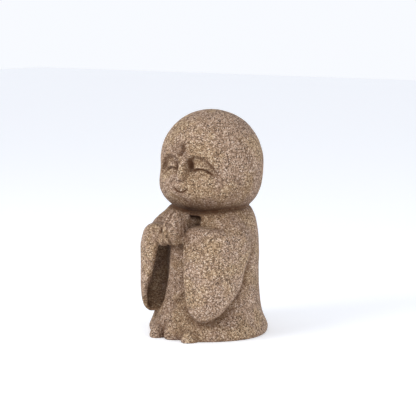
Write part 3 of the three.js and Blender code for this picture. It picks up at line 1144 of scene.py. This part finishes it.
def group(name, inputs, outputs):
    """An empty node group with its sockets: {name: (kind, default)} and {name: kind}."""
    tree = bpy.data.node_groups.new(name, "ShaderNodeTree")
    for socket, (kind, default) in inputs.items():
        made = tree.interface.new_socket(socket, in_out="INPUT", socket_type="NodeSocket" + kind)
        made.default_value = default
    for socket, kind in outputs.items():
        tree.interface.new_socket(socket, in_out="OUTPUT", socket_type="NodeSocket" + kind)
    return tree, tree.nodes.new("NodeGroupInput").outputs, tree.nodes.new("NodeGroupOutput").inputs


print("helpers ready")

# %% [markdown]
# ## Grains
#
# Cast sandstone is pale, brown and dark grains, about a millimetre wide, with pores between them.
# A Voronoi texture divides the stone into cells, and each cell draws a lot that later picks its
# colour. Bent a little by noise, the cells lose their straight sides. It is a group of its own, so
# another piece of the same stone could have coarser or finer grains.

# %% Group: grains of the stone
PORES = {"Scale": 0.55, "Detail": 3.0, "Roughness": 0.65}

grain_tree, given, gives = group(
    "stone_grains",
    {"Grain Size": ("Float", 0.9), "Wander": ("Float", 1.6)},  # in mm, and in grains
    {"Lot": "Float", "Pit": "Float"},
)
place = add(grain_tree, "TexCoord").outputs["Object"]
per_metre = maths(grain_tree, "DIVIDE", 1 / MM, given["Grain Size"])
spot = add(grain_tree, "VectorMath", {0: place, "Scale": per_metre}, operation="SCALE").outputs[0]
wander = add(grain_tree, "TexNoise", {"Vector": spot, "Scale": 0.9, "Detail": 2.0}).outputs["Color"]
centred = add(grain_tree, "VectorMath", {0: wander, 1: (0.5, 0.5, 0.5)}, operation="SUBTRACT").outputs[0]
shift = add(grain_tree, "VectorMath", {0: centred, "Scale": given["Wander"]}, operation="SCALE").outputs[0]
bent = add(grain_tree, "VectorMath", {0: spot, 1: shift}, operation="ADD").outputs[0]
cells = add(grain_tree, "TexVoronoi", {"Vector": bent, "Scale": 1.0})
draws = add(grain_tree, "SeparateColor", {"Color": cells.outputs["Color"]}).outputs
pores = add(grain_tree, "TexNoise", {"Vector": spot, **PORES}).outputs["Fac"]
grain_tree.links.new(draws["Red"], gives["Lot"])
grain_tree.links.new(ramp(grain_tree, pores, low=0.60, high=0.68), gives["Pit"])
print("group of", len(grain_tree.nodes), "nodes")

# %% [markdown]
# ## The stone
#
# The colours go on in the order in which the real ones came about: the grains, a tint that drifts
# from rosy to ochre over a couple of centimetres, dark pores, and then the brown of patina and
# painted shade, stronger in some patches than in others. The stone is matt all over, so its
# roughness is one number. A low bump lets the pale grains stand up and the pores sink.

# %% Colours of the stone
GRAIN_COLOURS = {  # by the lot that each grain draws, from 0 to 1
    0.0: (0.055, 0.035, 0.025),
    0.2: (0.15, 0.097, 0.062),
    0.5: (0.29, 0.2, 0.135),
    0.8: (0.43, 0.325, 0.24),
    1.0: (0.66, 0.56, 0.47),
}
OCHRE = (1.0, 0.925, 0.77)
ROSE = (1.0, 0.935, 0.9)
PIT = (0.06, 0.035, 0.022)
PIT_SHOWS = 0.75
# The brown of the patina, which also paints the shade in hollows, creases and undersides.
PATINA_AND_SHADE_BROWN = (0.08, 0.03, 0.008)
DRIFT = {"Scale": 50.0, "Detail": 3.0}  # patches of tint, to the metre
PATCHES = {"Scale": 110.0, "Detail": 4.0}  # patches of patina and painted shade, to the metre
MATT = 0.9

stone = bpy.data.materials.new("stone")
stone.use_nodes = True
tree = stone.node_tree
place = add(tree, "TexCoord").outputs["Object"]
grains = add(tree, "Group", node_tree=grain_tree)
colours = add(tree, "ValToRGB", {"Fac": grains.outputs["Lot"]})
while len(colours.color_ramp.elements) < len(GRAIN_COLOURS):
    colours.color_ramp.elements.new(0.5)
for element, (position, colour) in zip(colours.color_ramp.elements, GRAIN_COLOURS.items()):
    element.position = position
    element.color = (*colour, 1)
drift = add(tree, "TexNoise", {"Vector": place, **DRIFT}).outputs["Fac"]
tint = blended(tree, ramp(tree, drift, low=0.42, high=0.62), (*ROSE, 1), (*OCHRE, 1))
tinted = blended(tree, 1.0, colours.outputs["Color"], tint, "MULTIPLY")
pitted = blended(tree, maths(tree, "MULTIPLY", grains.outputs["Pit"], PIT_SHOWS), tinted, (*PIT, 1))
print("grain colours:", len(colours.color_ramp.elements))

# %% Patina, painted shade and finish
# The mesh's number mixes in this brown: patina and painted shade, at random strength in patches.
patina_and_shade_mask = add(tree, "Attribute", attribute_name="patina_and_shade").outputs["Fac"]
patches = add(tree, "TexNoise", {"Vector": place, **PATCHES}).outputs["Fac"]
patchy = ramp(tree, patches, low=0.25, high=0.75, kind="LINEAR", to=(0.75, 1.1))
patina_and_shade_strength = maths(tree, "MULTIPLY", patina_and_shade_mask, patchy)
relief = maths(tree, "SUBTRACT", grains.outputs["Lot"], grains.outputs["Pit"])
bump = add(tree, "Bump", {"Height": relief, "Strength": 0.5, "Distance": 0.2 * MM})
finish = tree.nodes["Principled BSDF"]
tree.links.new(blended(tree, patina_and_shade_strength, pitted, (*PATINA_AND_SHADE_BROWN, 1)), finish.inputs["Base Color"])
tree.links.new(bump.outputs["Normal"], finish.inputs["Normal"])
finish.inputs["Roughness"].default_value = MATT
print("stone of", len(tree.nodes), "nodes")

# %% [markdown]
# ## Ready for the frame
#
# Smooth shading hides the quads. The figure is fixed to the one body there is, stands in for the
# CAD model's piece, and is given the stone material.

# %% Finish
for polygon in skin.polygons:
    polygon.use_smooth = True
skin.materials.append(stone)
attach(jizo, "root")
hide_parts("jizo_statue")
